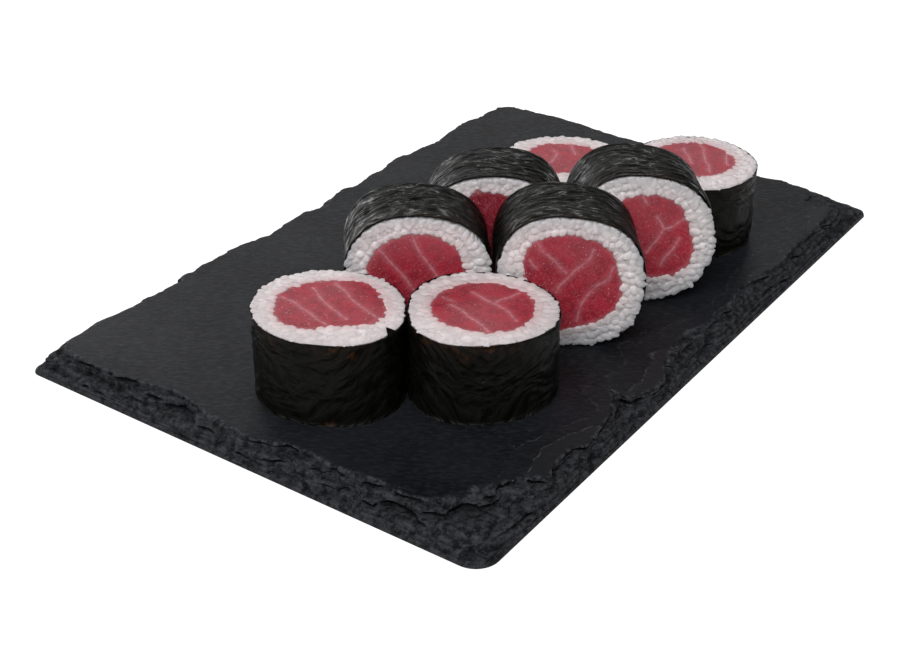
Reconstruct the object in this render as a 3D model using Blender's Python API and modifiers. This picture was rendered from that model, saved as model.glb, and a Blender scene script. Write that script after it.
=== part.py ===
"""Eight tuna maki on a slate serving board, at real size in metres.

The board lies flat with its long side along X and its underside on z = 0, centred on the origin.
Four rolls stand on an end and four lie on their sides. Each roll is three solids that run
through it from end to end: a tuna core, a ring of pressed rice and a sheet of nori round both.
"""
from collections import namedtuple
import math

import bmesh
import bpy
import numpy as np

MM = 0.001

BOARD_LENGTH = 250 * MM
BOARD_WIDTH = 160 * MM
BOARD_THICKNESS = 7 * MM
CORNER_RADIUS = 7 * MM
CORNER_POINTS = 5
EDGE_STEP = 6.5 * MM

# The split edge leans in from the straight foot to the ragged rim of the top face.
RIM_INSET = 4.4 * MM
NEAR_EXTRA = 0.9 * MM
# (scars round the board, depth, shift in turns)
RIM_SCARS = ((9, 1.6 * MM, 0.31), (31, 1.5 * MM, 0.07), (47, 0.8 * MM, 0.62))
# (height as a part of the thickness, inset as a part of the rim's inset)
EDGE_STAGES = ((0.0, 0.0), (0.30, 0.16), (0.66, 0.55), (1.0, 1.0))

NORI_THICKNESS = 0.35 * MM
LAYER_GAP = 0.3 * MM
SEAT_GAP = 0.3 * MM

SIDES = 36
RIM_WAVE = 0.25 * MM
GRAIN_BUMP = 0.35 * MM
RICE_CROWN = 0.6 * MM
FISH_STEP = 0.35 * MM
FISH_ROUNDING = 0.6 * MM

# Lobes are (count round the outline, height in mm, angle of the first crest in degrees).
# x, y is the roll's middle on the board and turn its heading, in mm and degrees.
# axis_height is how far the middle of a lying roll is above the board, None for a standing roll.
Roll = namedtuple("Roll", "number x y axis_height turn length radius lobes fish_x fish_y fish_radius fish_lobes")

ROLLS = (
    Roll(1, -87.2, -3.3, None, -55.6, 25.3, 21.6, ((2, 0.7, -42), (3, 0.2, -56), (4, 0.6, 45)),
         0.1, 1.3, 14.9, ((2, 1.1, 9), (3, 0.6, -27), (4, 0.8, -34))),
    Roll(2, -62.5, -37.1, None, -55.6, 24.8, 21.3, ((2, 0.2, 22), (3, 0.6, -6), (4, 0.3, 48)),
         0.5, 0.5, 14.4, ((2, 0.2, -12), (3, 0.3, -54), (4, 0.1, 32))),
    Roll(3, -42.9, -0.4, 20.6, -51.6, 22.7, 21.1, ((2, 0.8, 5), (3, 0.6, 20), (4, 0.2, 44)),
         -0.3, 0.0, 14.3, ((2, 0.4, 12), (3, 0.1, 34), (4, 0.1, 44))),
    Roll(4, -20.4, -39.3, 21.4, -54.1, 23.4, 22.1, ((2, 0.8, -34), (3, 0.2, 10), (4, 0.7, 44)),
         -0.2, -0.2, 15.4, ((2, 0.8, -83), (3, 1.0, 0), (4, 0.8, -36))),
    Roll(5, -9.4, -6.2, 21.1, -57.6, 22.1, 21.9, ((2, 0.5, 3), (3, 0.3, 45), (4, 0.5, 45)),
         -0.6, 1.5, 14.2, ((2, 0.2, -40), (3, 0.1, 5), (4, 0.1, 27))),
    Roll(6, 16.3, -42.7, 21.5, -52.1, 24.2, 22.4, ((2, 0.6, -30), (3, 0.5, 1), (4, 0.6, 46)),
         1.0, 0.9, 14.5, ((2, 0.7, -37), (3, 0.6, -38), (4, 0.5, -41))),
    Roll(7, 41.1, -1.2, None, -55.6, 23.1, 21.1, ((2, 0.3, 20), (3, 0.2, 10), (4, 0.2, 45)),
         -0.2, 2.0, 12.9, ((2, 0.3, 19), (3, 0.2, 22), (4, 0.2, 33))),
    Roll(8, 61.5, -39.2, None, -55.6, 25.1, 21.7, ((2, 0.7, 78), (3, 0.1, 35), (4, 0.1, 0)),
         0.1, 2.7, 14.0, ((2, 0.1, 67), (3, 0.2, -59), (4, 0.2, -11))),
)


def clear_scene():
    for old in list(bpy.data.objects):
        bpy.data.objects.remove(old, do_unlink=True)


def plain_material(name, colour, roughness):
    """A Principled material with one linear colour."""
    material = bpy.data.materials.new(name)
    material.use_nodes = True
    shader = material.node_tree.nodes["Principled BSDF"]
    shader.inputs["Base Color"].default_value = (*colour, 1.0)
    shader.inputs["Roughness"].default_value = roughness
    shader.inputs["Metallic"].default_value = 0.0
    material.diffuse_color = (*colour, 1.0)
    return material


def add_object(name, mesh, material, collection):
    """Put a mesh in the collection with one material, smooth except at its sharp edges."""
    mesh.materials.append(material)
    mesh.shade_smooth()
    mesh.set_sharp_from_angle(angle=math.radians(40))
    piece = bpy.data.objects.new(name, mesh)
    collection.objects.link(piece)
    return piece


def loft(name, rings, closed_section):
    """Skin a stack of rings, an array of (ring, point, xyz) that runs anticlockwise from below.

    A closed section joins the last ring back to the first, as round a tyre. Otherwise the first
    and the last ring are filled with a flat face each.
    """
    stages, points = rings.shape[:2]
    ring = np.arange(stages if closed_section else stages - 1)[:, None]
    point = np.arange(points)[None, :]
    beside = (point + 1) % points
    above = (ring + 1) % stages
    quads = np.stack([ring * points + point, ring * points + beside,
                      above * points + beside, above * points + point], axis=-1)
    faces = quads.reshape(-1, 4).tolist()
    if not closed_section:
        faces.append(list(range(points))[::-1])
        faces.append(list(range((stages - 1) * points, stages * points)))
    mesh = bpy.data.meshes.new(name)
    mesh.from_pydata(rings.reshape(-1, 3).tolist(), [], faces)
    return mesh


def board_foot():
    """Points and outward normals round the board's straight foot, a rectangle with round corners."""
    half_x = BOARD_LENGTH / 2 - CORNER_RADIUS
    half_y = BOARD_WIDTH / 2 - CORNER_RADIUS
    corners = ((half_x, -half_y, -90), (half_x, half_y, 0), (-half_x, half_y, 90), (-half_x, -half_y, 180))
    points = []
    normals = []
    for index, (x, y, start) in enumerate(corners):
        angles = np.radians(start + np.linspace(0, 90, CORNER_POINTS))
        arc = np.stack([np.cos(angles), np.sin(angles)], axis=1)
        points.append(np.array([x, y]) + CORNER_RADIUS * arc)
        normals.append(arc)
        side = 2 * (half_y if index % 2 == 0 else half_x)
        steps = int(side / EDGE_STEP)
        along = np.arange(1, steps)[:, None] / steps
        following = corners[(index + 1) % 4]
        first = points[-1][-1]
        last = np.array(following[:2]) + CORNER_RADIUS * arc[-1]
        points.append(first + along * (last - first))
        normals.append(np.repeat(arc[-1:], steps - 1, axis=0))
    return np.concatenate(points), np.concatenate(normals)


def build_board(material, collection):
    """A split slate: a straight foot, leaning edges and a ragged rim bitten by shallow scars.

    Rim inset = RIM_INSET + NEAR_EXTRA on the two near sides + sum of depth |sin(pi (n t + shift))|,
    where t goes from 0 to 1 round the board.
    """
    foot, normals = board_foot()
    step = np.linalg.norm(foot - np.roll(foot, 1, axis=0), axis=1)
    turn = np.cumsum(step) / step.sum()
    nearness = np.clip(-normals[:, 0] - normals[:, 1], 0, 1)
    rim = RIM_INSET + NEAR_EXTRA * nearness
    for count, depth, shift in RIM_SCARS:
        rim = rim + depth * np.abs(np.sin(math.pi * (count * turn + shift))) - depth / 2
    rings = []
    for height, lean in EDGE_STAGES:
        flat = foot - normals * (rim * lean)[:, None]
        level = np.full(len(flat), height * BOARD_THICKNESS)
        rings.append(np.column_stack([flat, level]))
    return add_object("slate", loft("slate", np.stack(rings), False), material, collection)


def outline(radius, lobes, angles):
    """Radius at each angle: r + sum of height cos(n (angle - crest))."""
    result = np.full(len(angles), radius * MM)
    for count, height, crest in lobes:
        result = result + height * MM * np.cos(count * (angles - math.radians(crest)))
    return result


def roll_ring(roll, angles, inset):
    """The roll's cross-section moved in by an inset, pressed flat where a lying roll is seated."""
    reach = outline(roll.radius, roll.lobes, angles) - inset
    section = np.stack([reach * np.cos(angles), reach * np.sin(angles)], axis=1)
    if roll.axis_height is not None:
        floor = -(roll.axis_height * MM - SEAT_GAP - inset)
        section[:, 1] = np.maximum(section[:, 1], floor)
    return section


def fish_ring(roll, angles, extra):
    """The core's cross-section, about its own middle, with the dents that the grains press in."""
    dents = np.random.default_rng(40 + roll.number).uniform(-1, 1, len(angles)) * FISH_STEP
    reach = outline(roll.fish_radius, roll.fish_lobes, angles) + dents + extra
    middle = np.array([roll.fish_x, roll.fish_y]) * MM
    return middle + np.stack([reach * np.cos(angles), reach * np.sin(angles)], axis=1)


def at_level(section, level):
    return np.column_stack([section, np.broadcast_to(level, len(section))])


def place(piece, roll):
    """Stand a roll on the board, or lay it down with its upper end turned towards the front."""
    half = roll.length * MM / 2
    if roll.axis_height is None:
        piece.location = (roll.x * MM, roll.y * MM, BOARD_THICKNESS + SEAT_GAP + half)
        piece.rotation_euler = (0, 0, math.radians(roll.turn))
    else:
        piece.location = (roll.x * MM, roll.y * MM, BOARD_THICKNESS + roll.axis_height * MM)
        piece.rotation_euler = (math.radians(90), 0, math.radians(roll.turn))


def build_nori(roll, angles, material, collection):
    """An open tube of the roll's outline, thickened inwards to one sheet."""
    half = roll.length * MM / 2
    mesh = bpy.data.meshes.new(f"nori_{roll.number}")
    shape = bmesh.new()
    bmesh.ops.create_cone(shape, cap_ends=False, segments=SIDES, radius1=1, radius2=1, depth=2)
    section = roll_ring(roll, angles, 0)
    wave = RIM_WAVE * np.cos(3 * angles + roll.number)
    for vertex in shape.verts:
        turn = math.atan2(vertex.co.y, vertex.co.x)
        index = round(turn / math.tau * SIDES) % SIDES
        level = half - RIM_WAVE + wave[index] if vertex.co.z > 0 else -half
        vertex.co = (*section[index], level)
    shape.to_mesh(mesh)
    shape.free()
    piece = add_object(mesh.name, mesh, material, collection)
    sheet = piece.modifiers.new("sheet", "SOLIDIFY")
    sheet.thickness = NORI_THICKNESS
    sheet.offset = -1
    sheet.use_even_offset = True
    return piece


def build_rice(roll, angles, material, collection):
    """A ring of pressed rice, uneven by the grain, that swells past the nori at its open ends."""
    half = roll.length * MM / 2
    bumps = np.random.default_rng(roll.number).uniform(-1, 1, (3, len(angles))) * GRAIN_BUMP
    outer = roll_ring(roll, angles, NORI_THICKNESS + LAYER_GAP)
    inner = fish_ring(roll, angles, LAYER_GAP)
    crown = (outer + inner) / 2
    top_level = half + RICE_CROWN + bumps[0]
    foot_level = -half if roll.axis_height is None else -half - RICE_CROWN + bumps[1]
    rings = (at_level(outer, -half), at_level(outer, half + bumps[2] / 2), at_level(crown, top_level),
             at_level(inner, half + bumps[2] / 2), at_level(inner, -half), at_level(crown, foot_level))
    name = f"rice_{roll.number}"
    return add_object(name, loft(name, np.stack(rings), True), material, collection)


def build_fish(roll, angles, material, collection):
    """A core of tuna cut straight across at both ends, its cut edges slightly rounded."""
    half = roll.length * MM / 2
    side = fish_ring(roll, angles, 0)
    end = fish_ring(roll, angles, -FISH_ROUNDING)
    rings = (at_level(end, -half), at_level(side, FISH_ROUNDING - half),
             at_level(side, half - FISH_ROUNDING), at_level(end, half))
    name = f"tuna_{roll.number}"
    return add_object(name, loft(name, np.stack(rings), False), material, collection)


def main():
    clear_scene()
    collection = bpy.data.collections.new("maki_on_slate")
    bpy.context.scene.collection.children.link(collection)
    slate = plain_material("slate", (0.040, 0.041, 0.044), 0.6)
    nori = plain_material("nori", (0.016, 0.017, 0.014), 0.45)
    rice = plain_material("rice", (0.62, 0.56, 0.55), 0.4)
    tuna = plain_material("tuna", (0.35, 0.055, 0.065), 0.35)
    build_board(slate, collection)
    angles = np.arange(SIDES) * math.tau / SIDES
    for roll in ROLLS:
        for build, material in ((build_nori, nori), (build_rice, rice), (build_fish, tuna)):
            place(build(roll, angles, material, collection), roll)


main()
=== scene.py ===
"""Looks for eight tuna maki on a slate board: split stone, nori, sticky rice and raw tuna."""
import math
from collections import namedtuple

import bpy
import numpy as np
from mathutils import Matrix, Vector


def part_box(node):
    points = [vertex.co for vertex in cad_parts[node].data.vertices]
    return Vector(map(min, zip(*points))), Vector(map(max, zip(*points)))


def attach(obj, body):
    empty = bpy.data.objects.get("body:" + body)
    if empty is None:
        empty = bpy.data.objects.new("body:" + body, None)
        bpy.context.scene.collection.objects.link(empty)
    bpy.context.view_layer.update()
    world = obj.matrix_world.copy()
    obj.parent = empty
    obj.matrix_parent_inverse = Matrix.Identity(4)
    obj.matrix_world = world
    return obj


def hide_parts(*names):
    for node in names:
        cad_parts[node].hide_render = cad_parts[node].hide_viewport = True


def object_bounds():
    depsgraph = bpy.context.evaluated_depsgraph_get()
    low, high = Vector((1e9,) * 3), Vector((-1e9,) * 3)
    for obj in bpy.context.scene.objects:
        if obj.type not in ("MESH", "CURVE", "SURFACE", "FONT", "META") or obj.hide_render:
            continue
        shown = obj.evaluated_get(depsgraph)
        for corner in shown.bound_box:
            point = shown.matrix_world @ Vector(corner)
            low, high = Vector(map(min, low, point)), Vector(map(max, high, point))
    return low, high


MM = 0.001

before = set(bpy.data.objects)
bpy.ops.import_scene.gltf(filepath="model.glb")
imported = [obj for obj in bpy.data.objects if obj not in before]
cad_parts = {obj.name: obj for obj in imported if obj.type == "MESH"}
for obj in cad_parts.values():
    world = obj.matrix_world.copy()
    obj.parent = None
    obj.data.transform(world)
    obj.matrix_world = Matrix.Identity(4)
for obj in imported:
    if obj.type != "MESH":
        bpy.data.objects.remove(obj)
cad_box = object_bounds()

# ---------------------------------------------------------------- sizes, in mm and degrees

slate_low, slate_high = (np.array(corner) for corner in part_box("slate"))
BOARD_X, BOARD_Y = (slate_high - slate_low)[:2] / 2
BOARD_TOP = slate_high[2]

# Places round the board are measured from its near right corner, anticlockwise from above, along
# the plain rectangle: the far short side starts at 0, the far long one at 160, the near short one
# at 410 and the near long one at 570, and 820 is the start again.
SIDE_STARTS = (0, 160, 410, 570, 820)
CORNER_RADII = (3.5, 5.0, 3.5, 7.0)

# Where each split layer begins, as a share of the way in to the flat top, and the count of flakes.
LAYER_SHARES = (0.03, 0.10, 0.22, 0.40, 0.62, 0.88)
FLAKES = 130

# How far in from the foot the flat top begins: (place, inset).
TOP_INSETS = (
    (0, 16), (6, 12), (13, 7.9), (25, 5.6), (34, 8), (44, 6), (66, 5.2), (90, 5), (110, 4), (130, 1.6),
    (145, 3), (152, 3.2), (160, 6), (174, 5), (189, 3.3), (205, 6.7), (212, 4.8), (231, 3.2), (246, 4.4),
    (260, 6.2), (266, 3.7), (280, 7.4), (290, 5), (312, 6.2), (322, 4.2), (341, 3.2), (356, 5), (368, 5.6),
    (390, 4.4), (402, 5.2), (411, 8), (420, 5), (431, 5.4), (445, 7.5), (456, 9.1), (465, 7.3), (473, 7),
    (485, 4.8), (493, 3.8), (503, 8.2), (513, 8.4), (522, 7.5), (538, 9.5), (546, 8.2), (553, 9.4),
    (560, 13), (568, 16), (576, 17), (584, 12), (597, 7.8), (601, 4.2), (609, 5.1), (617, 5), (621, 2.6),
    (630, 4.2), (637, 5), (645, 9.5), (648, 12.6), (649, 5), (653, 3), (659, 1.2), (665, 1), (672, 5),
    (681, 8.7), (695, 9.2), (706, 5), (718, 6.4), (730, 8), (744, 5.7), (756, 4.4), (770, 5.4), (785, 5.9),
    (800, 5.8), (810, 8), (817, 13),
)

# Gaps cut in under the lips of split layers and painted near black as shade: (from, to, layer counted from
# the foot, depth).
GAPS = (
    (419, 429, 5, 1.6), (432, 442, 5, 1.4), (430, 432, 2, 1.0), (436, 438, 2, 1.0), (449, 454, 4, 1.2),
    (446, 450, 3, 0.9), (455, 471, 3, 2.0), (458, 469, 5, 1.5), (474, 481, 4, 1.4), (487, 497, 2, 1.6),
    (492, 498, 5, 1.4), (501, 507, 5, 1.8), (499, 504, 3, 1.2), (514, 520, 4, 1.6), (520, 525, 5, 1.0),
    (518, 527, 2, 1.3), (530, 537, 3, 1.6), (532, 538, 5, 1.0), (539, 553, 3, 2.2), (543, 552, 5, 1.6),
    (553, 578, 4, 2.0), (574, 583, 4, 1.6), (575, 592, 2, 2.2), (578, 589, 5, 1.6), (596, 600, 5, 1.8),
    (600, 610, 4, 1.4), (609, 617, 5, 1.4), (618, 626, 5, 1.4), (629, 638, 5, 1.6), (646, 650, 4, 1.6),
    (648, 654, 4, 1.3), (658, 671, 4, 1.2), (680, 684, 5, 1.8), (685, 691, 4, 1.3), (686, 698, 2, 1.3),
    (709, 716, 5, 1.4), (701, 706, 5, 1.2), (687, 692, 2, 0.9), (739, 745, 5, 1.4), (738, 742, 3, 1.2),
    (745, 754, 2, 0.9), (759, 764, 2, 1.1), (766, 771, 4, 1.4), (780, 786, 5, 0.9), (794, 802, 4, 0.9),
)

ROLL_SIZES = "number x y axis_height turn length radius lobes fish_x fish_y fish_radius fish_lobes"


class Roll(namedtuple("Roll", ROLL_SIZES)):
    """A roll where the part's solids lie. Its outline is a mean radius and lobes of (count,
    height, angle of a crest), and so is its fish's. A standing roll has no axis height."""

    @property
    def lying(self):
        return self.axis_height is not None


ROLLS = (
    Roll(1, -87.2, -3.3, None, -55.6, 25.3, 21.7, ((2, 0.7, -42), (3, 0.2, -56), (4, 0.3, 45)),
         0.1, 1.3, 14.9, ((2, 1.1, 9), (3, 0.6, -27), (4, 0.8, -34))),
    Roll(2, -62.5, -37.1, None, -55.6, 24.8, 21.3, ((2, 0.2, 22), (3, 0.6, -6), (4, 0.3, 48)),
         0.5, 0.5, 14.4, ((2, 0.2, -12), (3, 0.3, -54), (4, 0.1, 32))),
    Roll(3, -42.9, -0.4, 20.6, -51.6, 22.7, 21.1, ((2, 0.8, 5), (3, 0.6, 20), (4, 0.2, 44)),
         -0.3, 0.0, 14.3, ((2, 0.4, 12), (3, 0.1, 34), (4, 0.1, 44))),
    Roll(4, -20.4, -39.3, 21.4, -54.1, 23.4, 22.1, ((2, 0.8, -34), (3, 0.2, 10), (4, 0.7, 44)),
         -0.2, -0.2, 15.4, ((2, 0.8, -83), (3, 1.0, 0), (4, 0.8, -36))),
    Roll(5, -9.4, -6.2, 21.1, -57.6, 22.1, 21.9, ((2, 0.5, 3), (3, 0.3, 45), (4, 0.5, 45)),
         -0.6, 1.5, 14.2, ((2, 0.2, -40), (3, 0.1, 5), (4, 0.1, 27))),
    Roll(6, 16.3, -42.7, 21.5, -52.1, 24.2, 22.4, ((2, 0.6, -30), (3, 0.5, 1), (4, 0.6, 46)),
         1.0, 0.9, 14.5, ((2, 0.7, -37), (3, 0.6, -38), (4, 0.5, -41))),
    Roll(7, 41.1, -1.2, None, -55.6, 23.1, 21.1, ((2, 0.3, 20), (3, 0.2, 10), (4, 0.2, 45)),
         -0.2, 2.0, 12.9, ((2, 0.3, 19), (3, 0.2, 22), (4, 0.2, 33))),
    Roll(8, 61.5, -39.2, None, -55.6, 25.1, 21.7, ((2, 0.7, 78), (3, 0.1, 35), (4, 0.1, 0)),
         0.1, 2.7, 14.0, ((2, 0.1, 67), (3, 0.2, -59), (4, 0.2, -11))),
)

# Sinew lines in each tuna core, as a few points on the cut face, x to the right and y up.
SINEWS = {
    1: (((-14.0, 5.4), (-9.8, 2.0), (-6.5, -2.0), (-3.2, -6.5), (0.6, -10.4)),
        ((-5.6, 11.5), (-3.9, 7.2), (-1.0, 1.6), (2.0, -2.6), (5.6, -7.6)),
        ((0.4, 14.3), (3.6, 8.8), (6.5, 3.2), (9.8, -1.3), (14.2, -7.2))),
    2: (((-3.4, 9.6), (0.6, 4.9), (3.9, 2.0), (7.2, -2.3), (9.6, -8.2)),
        ((3.3, 2.6), (5.2, 4.7), (7.5, 6.4), (11.4, 9.3)),
        ((-9.2, 2.4), (-4.6, -3.2), (-0.6, -9.1), (2.0, -13.4)),
        ((-11.4, 6.4), (-9.6, 4.6), (-7.0, 3.4))),
    3: (((-11.6, 9.8), (-8.8, 6.2), (-5.8, 2.6), (-3.2, -1.0), (-0.4, -5.4)),
        ((-1.4, 13.0), (0.0, 9.1), (2.6, 5.2), (4.6, 2.0), (8.0, -3.0))),
    4: (((-10.8, 13.8), (-8.4, 10.4), (-5.8, 7.8), (-3.2, 4.9), (-0.8, 3.0)),
        ((6.4, 11.6), (3.9, 6.5), (0.6, 3.6), (-2.3, 0.0), (-4.4, -3.8)),
        ((12.6, 5.8), (10.4, 1.3), (7.2, -1.6), (4.2, -5.2), (2.9, -9.8), (2.2, -13.6)),
        ((-12.6, 7.8), (-11.0, 5.6), (-9.4, 4.2))),
    5: (((0.4, 14.0), (-1.6, 11.2), (-3.4, 9.2)),),
    6: (((12.9, 7.8), (9.1, 4.9), (5.8, 3.2), (3.6, -0.6), (0.6, -5.2)),
        ((3.4, 8.4), (4.4, 6.4), (5.9, 3.6)),
        ((11.4, 1.0), (9.8, -2.0), (7.5, -5.2), (5.6, -9.8)),
        ((-1.2, 14.6), (-0.4, 12.8), (0.6, 11.4))),
    7: (((-3.6, 9.0), (-2.3, 4.6), (-3.9, 0.0), (-6.0, -4.0)),
        ((2.9, 14.0), (3.6, 9.0), (3.9, 4.0))),
    8: (((-2.4, 12.0), (-1.3, 4.6), (-0.8, -2.0)),
        ((4.2, 16.6), (4.6, 9.8), (4.0, 3.2), (4.4, -3.2), (4.0, -9.4)),
        ((12.6, 8.2), (11.0, 2.0), (11.0, -3.6))),
}

# How much paler the upper part of a lying roll's fish is.
UPPER_PALE = {3: 0.4, 4: 0.2, 6: 0.2}

# How much deeper the red of a roll's fish is: a little on rolls 4 and 6, and on roll 5, deep between its
# neighbours, mostly painted shade.
DEEP_RED_AND_SHADE = {4: 0.1, 5: 0.8, 6: 0.1}

# Where the sheet is worn thin or chipped and shows brown: (angle, height above the foot, reach).
THIN_SPOTS = {1: ((-87, 0.4, 1.3), (-85, 24, 1.6), (-70, 22.5, 1.3)),
              2: ((-104, 22.6, 1.9), (-83, 23.6, 1.2), (-95, 14, 0.8))}

# The most sinews in one core.
SINEW_SLOTS = max(len(lines) for lines in SINEWS.values())

# The creases of a sheet, broad to fine: (count round the roll, count along it, height).
LYING_FOLDS = ((11, 6, 0.16), (26, 14, 0.24), (52, 28, 0.16))
STANDING_FOLDS = ((12, 5, 0.26), (26, 11, 0.28), (48, 20, 0.14))

# The one torn tip of nori, on roll 1: its angle, its half width and how far it folds inwards.
TORN_TIP = (-38.0, 4.6, 2.3)

# The heading of the view, along which the lights and the slate's streaks are laid.
VIEW_HEADING = math.radians(-55.6)

GRAIN_WIDTH = 2.9
GRAIN_LENGTH = 4.6
# The nori's thickness, and the grid on which grains fuse.
SHEET = 0.2
VOXEL = 0.26
HIGHEST = cad_box[1][2] / MM
MIRRORED = np.array([1, 1, -1])

# How far a grain is pressed down into the cut, from and to, on standing and on lying rolls.
PRESSED = ((0.4, 1.2), (0.2, 0.9))


# ---------------------------------------------------------------- mesh tools

def build_mesh(name, points, faces, attributes=None, corner_uv=None):
    """A smooth mesh in metres from points in mm, face arrays and per-point attributes."""
    mesh = bpy.data.meshes.new(name)
    points = (np.asarray(points) * MM).astype(np.float32)
    mesh.vertices.add(len(points))
    mesh.vertices.foreach_set("co", points.ravel())
    corners = np.concatenate([np.asarray(group).ravel() for group in faces])
    sizes = np.concatenate([np.full(len(group), np.asarray(group).shape[1]) for group in faces])
    starts = np.concatenate([[0], np.cumsum(sizes)[:-1]])
    mesh.loops.add(len(corners))
    mesh.loops.foreach_set("vertex_index", corners.astype(np.int32))
    mesh.polygons.add(len(sizes))
    mesh.polygons.foreach_set("loop_start", starts.astype(np.int32))
    if corner_uv is not None:
        layer = mesh.uv_layers.new(name="sheet")
        layer.uv.foreach_set("vector", (np.asarray(corner_uv) * MM).astype(np.float32).ravel())
    for key, values in (attributes or {}).items():
        values = np.asarray(values, dtype=np.float32)
        kind, field = ("FLOAT", "value") if values.ndim == 1 else ("FLOAT_VECTOR", "vector")
        mesh.attributes.new(key, kind, "POINT").data.foreach_set(field, values.ravel())
    mesh.update(calc_edges=True)
    mesh.validate()
    mesh.shade_smooth()
    return mesh


def ring_faces(rings, points, looped=False, filled=False):
    """Quads between stacked rings, with the last joined to the first, or both ends filled."""
    ring = np.arange(rings if looped else rings - 1)[:, None]
    point = np.arange(points)[None, :]
    beside = (point + 1) % points
    above = (ring + 1) % rings
    quads = np.stack([ring * points + point, ring * points + beside,
                      above * points + beside, above * points + point], axis=-1).reshape(-1, 4)
    faces = [quads]
    if filled:
        faces.append(np.arange(points)[::-1][None, :])
        faces.append(np.arange((rings - 1) * points, rings * points)[None, :])
    return faces


def show(name, mesh, material, slot, *nodes):
    """Put a piece in the scene, in place of the part's nodes that it stands for."""
    mesh.materials.append(material)
    piece = bpy.data.objects.new(name, mesh)
    bpy.context.scene.collection.objects.link(piece)
    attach(piece, "root")
    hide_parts(*nodes)
    return piece


def smooth(value):
    """Smoothstep from 0 to 1."""
    value = np.clip(value, 0, 1)
    return value * value * (3 - 2 * value)


def ripple(across, along, cells_across, cells_along, seed):
    """Smooth random relief from -1 to 1: a lattice of random heights, wrapping across, blended
    with a smoothstep between the four nearest lattice points."""
    lattice = np.random.default_rng(seed).uniform(-1, 1, (cells_along + 2, cells_across))
    x = across * cells_across
    y = np.clip(along, 0, 1) * cells_along
    column, row = np.floor(x).astype(int), np.floor(y).astype(int)
    blend_x, blend_y = smooth(x - column), smooth(y - row)
    left, right = column % cells_across, (column + 1) % cells_across
    low = lattice[row, left] * (1 - blend_x) + lattice[row, right] * blend_x
    high = lattice[row + 1, left] * (1 - blend_x) + lattice[row + 1, right] * blend_x
    return low * (1 - blend_y) + high * blend_y


def line_ripples(turn, cells, seeds, row=0.5):
    """Ripples along a closed line, stacked: one for each seed."""
    return np.stack([ripple(turn, row + 0 * turn, cells, 1, seed) for seed in seeds])


def wrapped(value, whole):
    """The same place on a closed way, between minus half and plus half of the whole."""
    return np.mod(value + whole / 2, whole) - whole / 2


# ---------------------------------------------------------------- material tools

MIX, MATH, NOISE, RANGE = "ShaderNodeMix", "ShaderNodeMath", "ShaderNodeTexNoise", "ShaderNodeMapRange"
MAPPING, VORONOI, BUMP = "ShaderNodeMapping", "ShaderNodeTexVoronoi", "ShaderNodeBump"
FIELD = "ShaderNodeAttribute"
COLOUR = {"data_type": "RGBA"}
SOFT = {"interpolation_type": "SMOOTHSTEP"}


def srgb(code):
    """A linear colour from a #rrggbb code."""
    channels = [int(code[start:start + 2], 16) / 255 for start in (1, 3, 5)]
    linear = [c / 12.92 if c <= 0.04045 else ((c + 0.055) / 1.055) ** 2.4 for c in channels]
    return (*linear, 1.0)


def add(tree, kind, inputs=None, output=0, **settings):
    """Add a node, set its properties, give each input a value or a link, and return an output."""
    made = tree.nodes.new(kind)
    for key, value in settings.items():
        setattr(made, key, value)
    for key, value in (inputs or {}).items():
        if isinstance(value, bpy.types.NodeSocket):
            tree.links.new(value, made.inputs[key])
        else:
            made.inputs[key].default_value = value
    return made.outputs[output]


def new_material(name, values):
    """A Principled material with the constants of its shader set: its tree and its inputs."""
    material = bpy.data.materials.new(name)
    material.use_nodes = True
    inputs = material.node_tree.nodes["Principled BSDF"].inputs
    for key, value in values.items():
        inputs[key].default_value = value
    return material, material.node_tree, inputs


# ---------------------------------------------------------------- materials

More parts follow.
